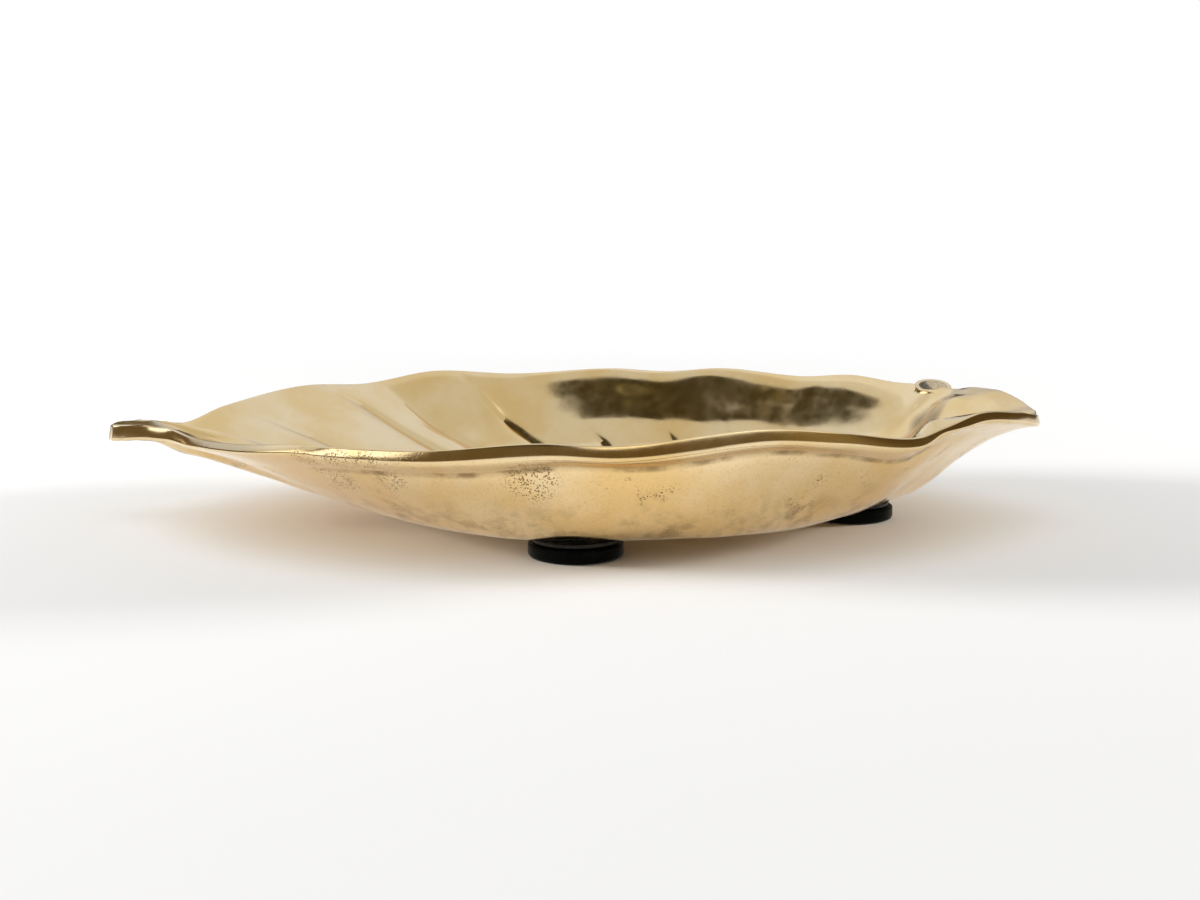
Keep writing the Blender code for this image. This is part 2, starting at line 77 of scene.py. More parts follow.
# Rim heights at the crests and dips of its waves: shares of the half length and of the height
NEAR_RIM_SHARES = (
    (-1.00, 0.795), (-0.92, 0.805), (-0.80, 0.772), (-0.68, 0.815), (-0.50, 0.900),
    (-0.28, 0.922), (-0.05, 0.995), (0.07, 0.974), (0.35, 1.068), (0.50, 1.012),
    (0.66, 0.922), (0.71, 0.957), (0.81, 1.045), (0.91, 0.985), (0.965, 0.920),
    (1.00, 0.875),
)
FAR_RIM_SHARES = (
    (-1.00, 0.795), (-0.93, 0.800), (-0.87, 0.765), (-0.79, 0.873), (-0.64, 0.955),
    (-0.53, 0.922), (-0.35, 1.005), (-0.16, 0.957), (0.09, 1.005), (0.21, 0.985),
    (0.36, 1.028), (0.54, 0.982), (0.66, 1.022), (0.76, 0.985), (0.80, 0.990),
    (0.865, 0.980), (0.905, 1.015), (0.94, 1.016), (0.975, 0.965), (1.00, 0.875),
)
# How steeply the wall leaves the floor and meets the rim, at shares of the way round the rim
# from tip to base: 1 is a straight wall
WALL_START_SHARES = ((0.0, 1.30), (0.20, 1.00), (0.45, 0.40), (0.62, 0.45), (0.80, 0.75),
                     (0.92, 1.60), (1.0, 2.05))
WALL_END_SHARES = ((0.0, 0.60), (0.25, 0.70), (0.50, 0.55), (0.80, 0.55), (0.92, 0.25),
                   (1.0, 0.05))
# The far wall's profile: shares of its run and of its height, and where round the rim it holds
FAR_WALL_SHARES = ((0.0, 0.0), (0.15, 0.075), (0.30, 0.190), (0.50, 0.370), (0.70, 0.645),
                   (0.86, 0.880), (0.94, 0.962), (1.0, 1.0))
FAR_WALL_REACH_SHARES = ((0.0, 0.0), (0.20, 0.0), (0.34, 1.0), (0.86, 1.0), (0.94, 0.0),
                         (1.0, 0.0))
# Where along the near rim it turns outwards, and the swelling's profile up the wall
DROOP_SHARES = ((-1.00, 0.0), (0.58, 0.0), (0.64, 0.08), (0.673, 0.42), (0.715, 1.0),
                (0.755, 0.60), (0.79, 0.25), (0.85, 0.0), (1.00, 0.0))
DROOP_WALL_SHARES = ((0.0, 0.0), (0.50, 0.0), (0.68, 0.40), (0.84, 1.0), (0.92, 0.80),
                     (1.0, 0.0))
# How far the near rim's edge face leans out, as a share of a right angle, along the half length
NEAR_LEAN_SHARES = ((-1.00, 0.15), (-0.86, 0.17), (-0.74, 0.48), (-0.52, 0.50), (-0.40, 0.20),
                    (-0.20, 0.14), (0.60, 0.16), (0.80, 0.20), (1.00, 0.10))
FAR_LEAN_SHARES = ((-1.00, 0.08), (-0.84, 0.10), (-0.60, 0.30), (1.00, 0.30))
# How far ahead of its place on the rim a vein crosses the floor's edge, as a share of the way
SWEEP_SHARE = 0.05
# Where the veins meet the rim, and where their rays leave the midrib
VEIN_SHARES = (0.0, 0.120, 0.235, 0.290, 0.375, 0.460, 0.555, 0.635, 0.710, 0.790, 0.865,
               0.935, 1.0)
ROOT_SHARES = ((0.0, 0.0), (0.15, 0.12), (0.35, 0.45), (0.55, 0.82), (0.68, 1.0), (1.0, 1.0))
# Places on the floor: shares of its half length and of its half width, from its middle
JUNCTION_SHARES = (0.723, 0.154)
MIDRIB_START_SHARE = -0.723
STEM_RIM_SHARE = 0.8664
# The swollen root on the inner wall, from its end to the rim beside the stem: shares of the
# half length and of the half width
ROOT_END_SHARES = (0.772, 0.395)
ROOT_TOP_SHARES = (0.862, 0.165)
# Height of the root on its way, as shares of its rise
ROOT_RUN_SHARES = ((0.0, 0.10), (0.30, 0.65), (0.55, 1.0), (0.80, 0.85), (1.0, 0.10))
BOSS_SHARE = 0.7              # height of the swelling under the stub, of the root's rise
STEM_LINE_SHARE = 0.25        # height of the stem's line from junction to stub, of the rise
RIB_START_SHARE = 0.5
STEM_LEAN_SHARE = 0.9         # how far inwards the stub's foot lies, for its depth
# Depth of a vein on its way up the wall, as shares of its depth: towards the tip it reaches
# the rim, towards the base it dies away half way
VEIN_CLIMB_SHARES = ((0.0, 1.0), (0.6, 0.75), (0.85, 0.40), (1.0, 0.0))
LOW_CLIMB_SHARES = ((0.0, 1.0), (0.2, 0.80), (0.45, 0.10), (0.6, 0.0), (1.0, 0.0))
LOW_CLIMB_START_SHARE = 0.39  # of the way round the rim
LOW_CLIMB_RUN_SHARE = 0.07
VEIN_SHARPNESS = (2.0, 7.0)   # of the pillow's curve, and of the line cut into the vein
# The lip under the rim and the groove below it: shares of the groove's fall and of its depth
LIP_SHARES = ((0.0, 0.0), (0.40, 0.0), (0.66, -0.45), (1.0, 1.0), (1.40, 0.35), (1.9, 0.0))
LIP_REACH_SHARES = ((-1.00, 0.0), (-0.84, 0.0), (-0.66, 0.6), (-0.40, 1.0), (0.70, 1.0),
                    (0.90, 0.3), (1.00, 0.0))
RIM_GAP_SHARE = 0.090         # of the wall's run, from the last row of points to the rim
FILED_SHARE = 0.5             # how far down the outer face the filed rim shifts its points
# How far the rim is filed, along the half length: at the ends the wall is flat and needs none
FILED_END_SHARES = ((-1.00, 0.0), (-0.88, 0.0), (-0.78, 1.0), (0.94, 1.0), (0.985, 0.2),
                    (1.00, 0.0))
TIP_LEAN = math.radians(11)   # of the unfiled tip's edge face
TIP_LEAN_REACH = 0.003
BAR_SHARES = (-0.925, -0.825)  # where the tip's bar is flat, and where the bowl begins
CURVE_STEPS = 24
SHARP_ANGLE = math.radians(40)
BOSS_REACH_SHARE = 0.6        # reach of the swelling under the stub, of the stub's diameter
RING_SHARE = 1.6              # width of the ring round the sawn face, of the stub's edge
SAWN_SHARE = 1.3              # how far the saw marks keep from the stub's side, of its edge
RIM_NEIGHBOURS = 3            # points either side that give the rim's direction
# The dents: how much finer the second set is, from where up the wall they fade, and how many
# dent sizes the outer face's own dents are drawn aside
FINE_DENT = 2.3
DENT_FADE_SHARE = 0.8
OUTER_DENTS = 7
# Where casting pits crowd on the outer face, and how far each crowd reaches
PIT_CROWDS = (((-0.0426, -0.0407, 0.0177), 0.0036), ((-0.0370, -0.0440, 0.0179), 0.0036),
              ((-0.0323, -0.0462, 0.0180), 0.0032), ((-0.0375, -0.0368, 0.0134), 0.0046),
              ((-0.0285, -0.0430, 0.0142), 0.0036), ((-0.0060, -0.0487, 0.0155), 0.0058))
# Spots of painted shade under the stem's root, and how far each reaches
ROOT_SHADE_SPOTS = (((0.0655, 0.0165, 0.0158), 0.0030), ((0.0675, 0.0115, 0.0165), 0.0034))
LAYERS = ("relief", "climb", "lean", "outside", "crease")
# dark of the stub's sawn face, also its painted shade
SAWN_DARK_AND_SHADE = (0.10, 0.075, 0.035)

# The studio: name, power, size and place of each lamp
LAMPS = (("right_lamp", 10.2, 0.24, (0.85, 0.22, 0.18)),
         ("left_lamp", 13.4, 0.24, (-0.85, 0.06, 0.18)),
         ("top_lamp", 1.4, 0.8, (0, -0.1, 0.9)))
ROOM_FILL = 0.36              # light from all round, of the white behind the dish
FLOOR_FADE = (0.13, 0.34)     # from the dish's middle, where the board turns to pure white
FLOOR_SQUEEZE = (0.7, 1, 1)   # the patch of painted glow and shade under the dish is longer than it is wide
# from the dish's middle, where the painted glow and shade under the dish begins and where it is
# full
PAINTED_GLOW_AND_SHADE_REACH = (0.058, 0.026)
PAINTED_FLOOR_GLOW = 0.17             # painted glow that only the brass sees in the board near the dish
TENT_RADIUS = 4.0
# Patches of the tent in degrees: from and to round it, where 0 is towards the camera and 90
# towards +X, from and to above the floor, and how soft the edge is
BACK_LIGHT = ((-180, -118), (30, 90), 6)
RIGHT_LIGHT = ((8, 75), (28, 43), 1.5)
LEFT_LIGHT = ((-108, -43), (19, 42), 1)
OPENING = ((-91, 8.5), (0, 80), 1)
LAMPS_SEEN = (((-15, -11), (42.3, 44.3), 0.8), ((-57.5, -54.5), (48.2, 49.6), 0.8))


class LeafBlade(bpy.types.PropertyGroup):
    """The leaf's blade."""
    length: FloatProperty(
        name="Length", description="Tip to base, at the rim's inner line",
        default=0.170, unit="LENGTH")
    width: FloatProperty(
        name="Width", description="Across the rim's inner line", default=0.1048, unit="LENGTH")
    rim_height: FloatProperty(
        name="Rim height", description="Above the table, before the waves",
        default=0.022, unit="LENGTH")
    wall: FloatProperty(
        name="Wall", description="Thickness of the metal", default=0.0021, unit="LENGTH")
    rim_round: FloatProperty(
        name="Rim round", description="Rounding of the rim's inner corner",
        default=0.00038, unit="LENGTH")
    rim_break: FloatProperty(
        name="Rim break", description="Rounding of the rim's outer corner",
        default=0.00062, unit="LENGTH")
    floor_length: FloatProperty(
        name="Floor length", description="Length of the flat floor", default=0.1065, unit="LENGTH")
    floor_width: FloatProperty(
        name="Floor width", description="Width of the flat floor", default=0.078, unit="LENGTH")
    floor_shift: FloatProperty(
        name="Floor shift", description="Of the floor towards the base",
        default=0.0085, unit="LENGTH")
    corner_round: FloatProperty(
        name="Corner round", description="Reach of the bend between floor and wall",
        default=0.0050, unit="LENGTH")
    tip_thickness: FloatProperty(
        name="Tip thickness", description="Of the blunt tip's bar", default=0.0030, unit="LENGTH")
    tip_reach: FloatProperty(
        name="Tip reach", description="Length of the thicker tip", default=0.020, unit="LENGTH")
    vein_depth: FloatProperty(
        name="Vein depth", description="Of the grooves between pillows",
        default=0.0014, unit="LENGTH")
    midrib_rise: FloatProperty(
        name="Midrib rise", description="Height of the raised midrib",
        default=0.0015, unit="LENGTH")
    midrib_width: FloatProperty(
        name="Midrib width", description="Half width of the midrib", default=0.0075, unit="LENGTH")
    junction_reach: FloatProperty(
        name="Junction reach", description="The veins die away this near to the junction",
        default=0.022, unit="LENGTH")
    root_rise: FloatProperty(
        name="Root rise", description="Height of the stem's swollen root",
        default=0.0012, unit="LENGTH")
    root_width: FloatProperty(
        name="Root width", description="Half width of the stem's root",
        default=0.0040, unit="LENGTH")
    lip_fall: FloatProperty(
        name="Lip fall", description="From the rim's top to the groove below",
        default=0.0041, unit="LENGTH")
    lip_depth: FloatProperty(
        name="Lip depth", description="Of the groove below the lip",
        default=0.00060, unit="LENGTH")
    droop: FloatProperty(
        name="Droop", description="Swelling where the near rim turns outwards",
        default=0.0026, unit="LENGTH")
    dent_depth: FloatProperty(
        name="Dent depth", description="Of the casting's soft dents",
        default=0.00022, unit="LENGTH")
    dent_size: FloatProperty(
        name="Dent size", description="Across one soft dent", default=0.016, unit="LENGTH")
    rays: IntProperty(name="Rays", description="Rays from one vein to the next", default=16)
    floor_rows: IntProperty(name="Floor rows", description="Rows over the floor", default=18)
    wall_rows: IntProperty(name="Wall rows", description="Rows up the wall", default=50)


class StemStub(bpy.types.PropertyGroup):
    """The cut end of the stem, on the rim."""
    diameter: FloatProperty(
        name="Diameter", description="Of the sawn face", default=0.0072, unit="LENGTH")
    foot_diameter: FloatProperty(
        name="Foot diameter", description="Where the stub leaves the rim",
        default=0.0040, unit="LENGTH")
    length: FloatProperty(
        name="Length", description="From the sawn face down", default=0.0050, unit="LENGTH")
    lift: FloatProperty(
        name="Lift", description="Of the sawn face over the rim's top",
        default=-0.0001, unit="LENGTH")
    out: FloatProperty(
        name="Out", description="From the rim's inner line to the stub's middle",
        default=0.0004, unit="LENGTH")
    tilt: FloatProperty(
        name="Tilt", description="Of the sawn face to the front",
        default=math.radians(15), subtype="ANGLE")
    edge: FloatProperty(
        name="Edge", description="Rounding of the sawn face's rim", default=0.0006, unit="LENGTH")


class RubberFeet(bpy.types.PropertyGroup):
    """The stick-on feet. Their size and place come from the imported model."""
    top_edge: FloatProperty(
        name="Top edge", description="Rounding at the adhesive", default=0.00035, unit="LENGTH")
    bottom_edge: FloatProperty(
        name="Bottom edge", description="Rounding at the table", default=0.0008, unit="LENGTH")
    colour: FloatVectorProperty(
        name="Rubber", description="Colour of the rubber",
        default=(0.0012, 0.0018, 0.0014), subtype="COLOR")


class BrassFinish(bpy.types.PropertyGroup):
    """Colours of the brass."""
    bright: FloatVectorProperty(
        name="Bright brass", description="Freshly polished metal",
        default=(0.78, 0.62, 0.38), subtype="COLOR")
    warm: FloatVectorProperty(
        name="Warm brass", description="Slightly tarnished metal",
        default=(0.72, 0.51, 0.23), subtype="COLOR")
    # brown of the tarnish in pits and specks, also the painted shade low on the outer face, in the
    # crease under the lip and by the stem's root
    tarnish_and_shade_brown: FloatVectorProperty(
        name="Brown patina", description="Tarnish in pits and hollows",
        default=(0.20, 0.12, 0.05), subtype="COLOR")


class Studio(bpy.types.PropertyGroup):
    """The floor's colours and the camera."""
    floor_colour: FloatVectorProperty(
        name="Floor", description="Colour of the white board",
        default=(0.88, 0.875, 0.865), subtype="COLOR")
    # colour of the painted warm glow and shade on the board under the dish
    painted_glow_and_shade_colour: FloatVectorProperty(
        name="Warm floor", description="Under the shining dish",
        default=(0.66, 0.575, 0.47), subtype="COLOR")
    camera_place: FloatVectorProperty(
        name="Camera", description="Where the camera stands",
        default=(0.0045, -0.2998, 0.0606), subtype="TRANSLATION")
    camera_pitch: FloatProperty(
        name="Pitch", description="How far the camera looks down",
        default=math.radians(9.12), subtype="ANGLE")
    lens: FloatProperty(
        name="Lens", description="Focal length in millimetres on a 36 mm frame", default=49.5)


def eased(share):
    """A soft step from 0 to 1."""
    share = min(max(share, 0), 1)
    return share * share * (3 - 2 * share)


def table_value(table, place):
    """Reads a table with a smooth curve that never overshoots its stations."""
    places, values = zip(*table)
    last = len(table) - 1
    place = min(max(place, places[0]), places[last])
    rises = [(values[i + 1] - values[i]) / (places[i + 1] - places[i]) for i in range(last)]
    slopes = [rises[0]]
    for before, after in zip(rises, rises[1:]):
        slopes.append(2 * before * after / (before + after) if before * after > 0 else 0)
    slopes.append(rises[-1])
    here = max(i for i in range(last) if places[i] <= place)
    span = places[here + 1] - places[here]
    s = (place - places[here]) / span
    start = values[here] + span * slopes[here] * s * (1 - s) ** 2
    end = (values[here + 1] - values[here]) * s * s * (3 - 2 * s)
    return start + end - span * slopes[here + 1] * s * s * (1 - s)


def outline_curve(shares, length, width, shift):
    """Half of an outline as a fine chain of points, with the way run so far at each."""
    marks = [Vector((shift + length / 2 * x, width / 2 * y)) for x, y in shares]
    before = Vector((marks[1].x, -marks[1].y))
    after = Vector((marks[-2].x, -marks[-2].y))
    marks = [before, *marks, after]
    chain = []
    for a, b, c, d in zip(marks, marks[1:], marks[2:], marks[3:]):
        for step in range(CURVE_STEPS):
            s = step / CURVE_STEPS
            bend = (2 * a - 5 * b + 4 * c - d) * s * s + (3 * b - a - 3 * c + d) * s ** 3
            chain.append((2 * b + (c - a) * s + bend) / 2)
    chain.append(marks[-2])
    run = [0]
    for start, end in zip(chain, chain[1:]):
        run.append(run[-1] + (end - start).length)
    return chain, run


def along_outline(curve, share):
    """The point a share of the way round from the tip to the base."""
    chain, run = curve
    goal = share * run[-1]
    for i in range(1, len(chain)):
        if run[i] >= goal:
            part = (goal - run[i - 1]) / (run[i] - run[i - 1])
            return chain[i - 1].lerp(chain[i], part)
    return chain[-1]


def along_run(plan, start, end):
    """How far a point lies along a straight run, and away from it."""
    way = end - start
    along = min(max((plan - start).dot(way) / way.length_squared, 0), 1)
    return along, (plan - start - way * along).length


class LeafPlan:
    """The leaf seen from above, and the heights over it."""

    def __init__(self, blade, stub):
        self.blade = blade
        self.rim_curve = outline_curve(RIM_SHARES, blade.length, blade.width, 0)
        self.floor_curve = outline_curve(FLOOR_SHARES, blade.floor_length, blade.floor_width,
                                         blade.floor_shift)
        self.junction = self.floor_place(JUNCTION_SHARES)
        self.midrib_start = self.floor_place((MIDRIB_START_SHARE, 0))
        self.floor_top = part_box("leaf_tray")[0].z + blade.wall
        nudge = 1 / CURVE_STEPS / CURVE_STEPS
        before, here, after = (along_outline(self.rim_curve, STEM_RIM_SHARE + step)
                               for step in (-nudge, 0, nudge))
        along = (after - before).normalized()
        outwards = Vector((-along.y, along.x))
        self.stem = here + stub.out * outwards
        self.boss = self.stem - stub.diameter / 2 * outwards
        self.boss_reach = stub.diameter * BOSS_REACH_SHARE
        self.stub_top = Vector((*self.stem, self.rim_height(self.stem.x, 1) + stub.lift))
        self.root_end, self.root_top = (
            Vector((x * blade.length / 2, y * blade.width / 2))
            for x, y in (ROOT_END_SHARES, ROOT_TOP_SHARES))

    def floor_place(self, shares):
        """A plan point given by its shares of the floor's half length and half width."""
        blade = self.blade
        return Vector((blade.floor_shift + shares[0] * blade.floor_length / 2,
                       shares[1] * blade.floor_width / 2))

    def midrib_y(self, x):
        """The midrib bends from the tip's line to the junction, which lies towards the stem."""
        run = self.junction.x - self.midrib_start.x
        return self.junction.y * eased((x - self.midrib_start.x) / run)

    def ray(self, share, side):
        """Where one ray leaves the midrib, meets the floor's edge and ends at the rim."""
        rim = along_outline(self.rim_curve, share)
        ahead = SWEEP_SHARE * math.sin(math.pi * share)
        edge = along_outline(self.floor_curve, share + ahead)
        root = self.midrib_start.lerp(self.junction, table_value(ROOT_SHARES, share))
        root.y = self.midrib_y(root.x)
        return root, Vector((edge.x, side * edge.y)), Vector((rim.x, side * rim.y))

    def rim_height(self, x, side):
        """The waved top of the rim."""
        table = FAR_RIM_SHARES if side > 0 else NEAR_RIM_SHARES
        return self.blade.rim_height * table_value(table, x / (self.blade.length / 2))

    def bar_height(self, x):
        """The flat top of the tip's bar."""
        return (self.rim_height(x, 1) + self.rim_height(x, -1)) / 2

    def bar_share(self, x):
        """1 on the tip's bar, falling to 0 where the bowl begins."""
        first, last = BAR_SHARES
        return eased((last - 2 * x / self.blade.length) / (last - first))

    def relief(self, plan):
        """The raised midrib on the floor and the stem's swollen root on the wall."""
        blade = self.blade
        along, away = along_run(plan, self.root_end, self.root_top)
        root = blade.root_rise * (1 - eased(away / blade.root_width))
        root *= table_value(ROOT_RUN_SHARES, along)
        along, away = along_run(plan, self.junction, self.stem)
        line = STEM_LINE_SHARE * blade.root_rise * (1 - eased(away / blade.root_width))
        line *= 1 - eased(along)
        boss = 1 - eased((plan - self.boss).length / self.boss_reach)
        line += BOSS_SHARE * blade.root_rise * boss
        from_midrib = abs(plan.y - self.midrib_y(plan.x))
        if plan.x > self.junction.x:
            from_midrib = (plan - self.junction).length
        rib = blade.midrib_rise * (1 - eased(from_midrib / blade.midrib_width))
        rib *= eased((plan.x + blade.length / 2) / blade.tip_reach - RIB_START_SHARE)
        return max(root, line, rib)

    def vein_fade(self, plan, share):
        """Veins die away towards the tip's bar and the junction."""
        past_first_ray = 2 * share / VEIN_SHARES[1] - 1
        from_junction = (plan - self.junction).length
        return eased(past_first_ray) * eased(from_junction / self.blade.junction_reach)


def wall_rise(share, climb, side):
    """The share of the wall's height at a share of the way from the floor to the rim."""
    start = table_value(WALL_START_SHARES, share)
    end = table_value(WALL_END_SHARES, share)
    straight = climb * climb * (3 - 2 * climb)
    rise = straight + start * climb * (1 - climb) ** 2 - end * climb * climb * (1 - climb)
    if side > 0:
        held = table_value(FAR_WALL_REACH_SHARES, share)
        rise += (table_value(FAR_WALL_SHARES, climb) - rise) * held
    return max(rise, 0)


def softened(way, reach):
    """The way past the floor's edge, eased so that the wall leaves the floor in a soft bend."""
    if way >= reach:
        return way
    return max(way + reach, 0) ** 2 / (4 * reach)


def vein_groove(phase):
    """1 in a vein, falling to 0 on the pillow between two veins."""
    return sum(abs(2 * phase - 1) ** sharpness for sharpness in VEIN_SHARPNESS) / 2


def sheet_columns(rays):
    """Every ray: its share of the rim, its phase between two veins, and its side."""
    rows = []
    for first, last in zip(VEIN_SHARES, VEIN_SHARES[1:]):
        for step in range(rays):
            rows.append((first + (last - first) * step / rays, step / rays))
    rows.append((1.0, 0.0))
    return [(*row, 1) for row in rows] + [(*row, -1) for row in reversed(rows[1:-1])]


def inner_face(leaf):
    """The inner face as an open sheet. Each point's relief, climb, lean, row and column are
    kept in layers, which its twin on the outer face gets too."""
    blade = leaf.blade
    columns = sheet_columns(blade.rays)
    steps = [(0, step / blade.floor_rows) for step in range(blade.floor_rows)]
    steps += [(1, (1 - RIM_GAP_SHARE) * step / blade.wall_rows)
              for step in range(blade.wall_rows + 1)]
    steps.append((1, 1.0))
    sheet = bmesh.new()
    bmesh.ops.create_grid(sheet, x_segments=len(columns), y_segments=len(steps) - 1,
                          size=blade.length / 2)
    relief, climb, lean, *_ = (sheet.verts.layers.float.new(name) for name in LAYERS)
    row_layer, column_layer = (sheet.verts.layers.int.new(name) for name in ("row", "column"))
    rays = [leaf.ray(share, side) for share, _, side in columns]
    sheet.verts.ensure_lookup_table()
    width = len(columns) + 1
    for index, vert in enumerate(sheet.verts):
        column = index % width % len(columns)
        share, phase, side = columns[column]
        root, edge, rim = rays[column]
        zone, step = steps[index // width]
        depth = blade.vein_depth * vein_groove(phase)
        if zone == 0:
            plan = root.lerp(edge, step)
            way = -(edge - plan).length
            depth *= eased(step)
        else:
            plan = edge.lerp(rim, step)
            way = (plan - edge).length
            reach = table_value(VEIN_CLIMB_SHARES, step)
            low = eased((share - LOW_CLIMB_START_SHARE) / LOW_CLIMB_RUN_SHARE)
            depth *= reach + (table_value(LOW_CLIMB_SHARES, step) - reach) * low
        wall_run = (rim - edge).length
        way = softened(way, blade.corner_round) / wall_run
        rim_top = leaf.rim_height(rim.x, side)
        height = leaf.floor_top + (rim_top - leaf.floor_top) * wall_rise(share, way, side)
        if side < 0:
            droop = blade.droop * table_value(DROOP_SHARES, rim.x / (blade.length / 2))
            height += droop * table_value(DROOP_WALL_SHARES, way)
        height += (leaf.bar_height(plan.x) - height) * leaf.bar_share(plan.x)
        vert.co = (plan.x, plan.y, height)
        vert[relief] = leaf.relief(plan) - depth * leaf.vein_fade(plan, share)
        vert[climb] = zone * step
        vert[row_layer], vert[column_layer] = index // width, column
        leans = FAR_LEAN_SHARES if side > 0 else NEAR_LEAN_SHARES
        vert[lean] = math.pi / 2 * table_value(leans, rim.x / (blade.length / 2))
    bmesh.ops.remove_doubles(sheet, verts=sheet.verts, dist=blade.wall / 1000)
    bmesh.ops.recalc_face_normals(sheet, faces=sheet.faces)
    if sum(face.normal.z for face in sheet.faces) < 0:
        bmesh.ops.reverse_faces(sheet, faces=sheet.faces)
    return sheet


def round_off(shape, edges, offset, segments):
    """Rounds edges."""
    bmesh.ops.bevel(shape, geom=edges, offset=offset, offset_type="OFFSET", segments=segments,
                    profile=0.5, affect="EDGES", material=-1)


def soft_dents(point, size):
    """The uneven skin of a hand-finished casting, from about -1 to 1."""
    return noise.noise(point / size) + noise.noise(point * FINE_DENT / size) / 2


def file_rim(chain, rim_point, out, lean, share):
    """Cuts the outer face off at the rim's edge face, which goes down from the rim's inner
    line and leans out, and spreads the outer points over what is left."""
    across = out * math.cos(lean) + Vector((0, 0, math.sin(lean)))
    filed = chain[int(len(chain) * FILED_SHARE):]
    places = [vert.co.copy() for vert in filed]
    over = [(place - rim_point).dot(across) for place in places]
    last = len(places) - 1
    if share > 0 and over[last] > 0:
        over = [value - (1 - share) * over[-1] for value in over]
        while last > 1 and over[last - 1] > 0:
            last -= 1
        cut = last - 1 + over[last - 1] / (over[last - 1] - over[last])
        for i, vert in enumerate(filed):
            where = cut * i / (len(places) - 1)
            below = min(int(where), len(places) - 2)
            vert.co = places[below].lerp(places[below + 1], where - below)
    left = share * (filed[-1].co - rim_point).dot(across)
    for i, vert in enumerate(filed):
        vert.co -= across * left * eased(i / (len(filed) - 1))
    end = filed[-1].co.copy()
    push = (1 - share) * math.tan(TIP_LEAN) * (rim_point.z - end.z)
    for vert in filed:
        vert.co += out * push * (1 - eased((vert.co - end).length / TIP_LEAN_REACH))


def thicken_sheet(sheet, leaf):
    """Gives the sheet its wall, works the relief into the inner face, files the rim's edge
    face, cuts the groove under the lip, dents the faces and rounds the rim. Marks the outer
    face in the layer named outside and the groove in the one named crease."""
    blade = leaf.blade
    relief, climb, lean, outside, crease = (sheet.verts.layers.float[name] for name in LAYERS)
    row_layer, column_layer = (sheet.verts.layers.int[name] for name in ("row", "column"))
    inside = set(sheet.verts)
    bmesh.ops.solidify(sheet, geom=sheet.faces, thickness=blade.wall)
    rims = {}
    chains = {}
    twins = {(vert[row_layer], vert[column_layer]): vert for vert in inside}
    for vert in sheet.verts:
        if vert in inside:
            vert.co.z += vert[relief]
            if vert[climb] == 1:
                rims[vert[column_layer]] = vert
            continue
        twin = twins[vert[row_layer], vert[column_layer]]
        below = twin.co - Vector((0, 0, blade.wall + twin[relief]))
        vert.co += (below - vert.co) * leaf.bar_share(twin.co.x)
        at_tip = eased(1 - (vert.co.x + blade.length / 2) / blade.tip_reach)
        vert.co.z -= (blade.tip_thickness - blade.wall) * at_tip
        vert[outside] = 1
        if vert[climb] > 0:
            chains.setdefault(vert[column_layer], []).append(vert)
    for column, chain in chains.items():
        chain.sort(key=lambda vert: vert[row_layer])
        rim = rims[column]
        before, after = (rims[(column + step) % len(rims)].co
                         for step in (-RIM_NEIGHBOURS, RIM_NEIGHBOURS))
        along = after - before
        out = Vector((-along.y, along.x, 0)).normalized()
        place = rim.co.x / (blade.length / 2)
        file_rim(chain, rim.co, out, rim[lean], table_value(FILED_END_SHARES, place))
        reach = table_value(LIP_REACH_SHARES, place)
        depth = blade.lip_depth * reach * (1 + noise.noise(rim.co / blade.dent_size) / 2)
        for vert in chain:
            fall = (rim.co.z - vert.co.z) / blade.lip_fall
            if fall < LIP_SHARES[-1][0]:
                bite = table_value(LIP_SHARES, fall)
                vert.co -= out * depth * bite
                vert[crease] = max(bite, 0) * reach
    sheet.normal_update()
    for vert in sheet.verts:
        fade = 1 - eased((vert[climb] - DENT_FADE_SHARE) / (1 - DENT_FADE_SHARE))
        shift = vert[outside] * blade.dent_size * OUTER_DENTS
        where = vert.co + Vector((shift, 0, 0))
        dent = soft_dents(where, blade.dent_size) * blade.dent_depth * fade
        vert.co += vert.normal * dent
    rim_faces = {f for f in sheet.faces if 0 < sum(v in inside for v in f.verts) < 4}
    corners = [e for e in sheet.edges if sum(f in rim_faces for f in e.link_faces) == 1]
    for offset, side in ((blade.rim_round, 0), (blade.rim_break, 1)):
        ring = [e for e in corners if e.is_valid and round(e.verts[0][outside]) == side]
        round_off(sheet, ring, offset, 4)


def stem_stub(leaf, stub):
    """The cut stem: a short tapered stub on the rim, its sawn face tilted to the front."""
    shape = bmesh.new()
    bmesh.ops.create_cone(shape, cap_ends=True, segments=72, radius1=stub.foot_diameter / 2,
                          radius2=stub.diameter / 2, depth=stub.length)
    top = [f for f in shape.faces if f.normal.z > 0.9]
    bmesh.ops.inset_region(shape, faces=top, thickness=stub.edge * RING_SHARE)
    bmesh.ops.translate(shape, verts=top[0].verts, vec=(0, 0, -stub.edge / 4))
    ends = [e for e in shape.edges if len({round(v.co.z, 5) for v in e.verts}) == 1]
    round_off(shape, ends, stub.edge / 3, 3)
    bmesh.ops.translate(shape, verts=shape.verts, vec=(0, 0, -stub.length / 2))
    place = Matrix.Translation(leaf.stub_top) @ Matrix.Rotation(stub.tilt, 4, "X")
    lean = Matrix.Shear("XY", 4, (0, STEM_LEAN_SHARE))
    bmesh.ops.transform(shape, matrix=place @ lean, verts=shape.verts)
    return shape


def add_piece(name, shape, material):
    """Puts a finished shape into the scene, shaded smooth but for its sharp edges."""
    mesh = bpy.data.meshes.new(name)
    shape.to_mesh(mesh)
    shape.free()
    mesh.shade_smooth()
    mesh.set_sharp_from_angle(angle=SHARP_ANGLE)
    mesh.materials.append(material)
    piece = bpy.data.objects.new(name, mesh)
    bpy.context.scene.collection.objects.link(piece)
    return piece


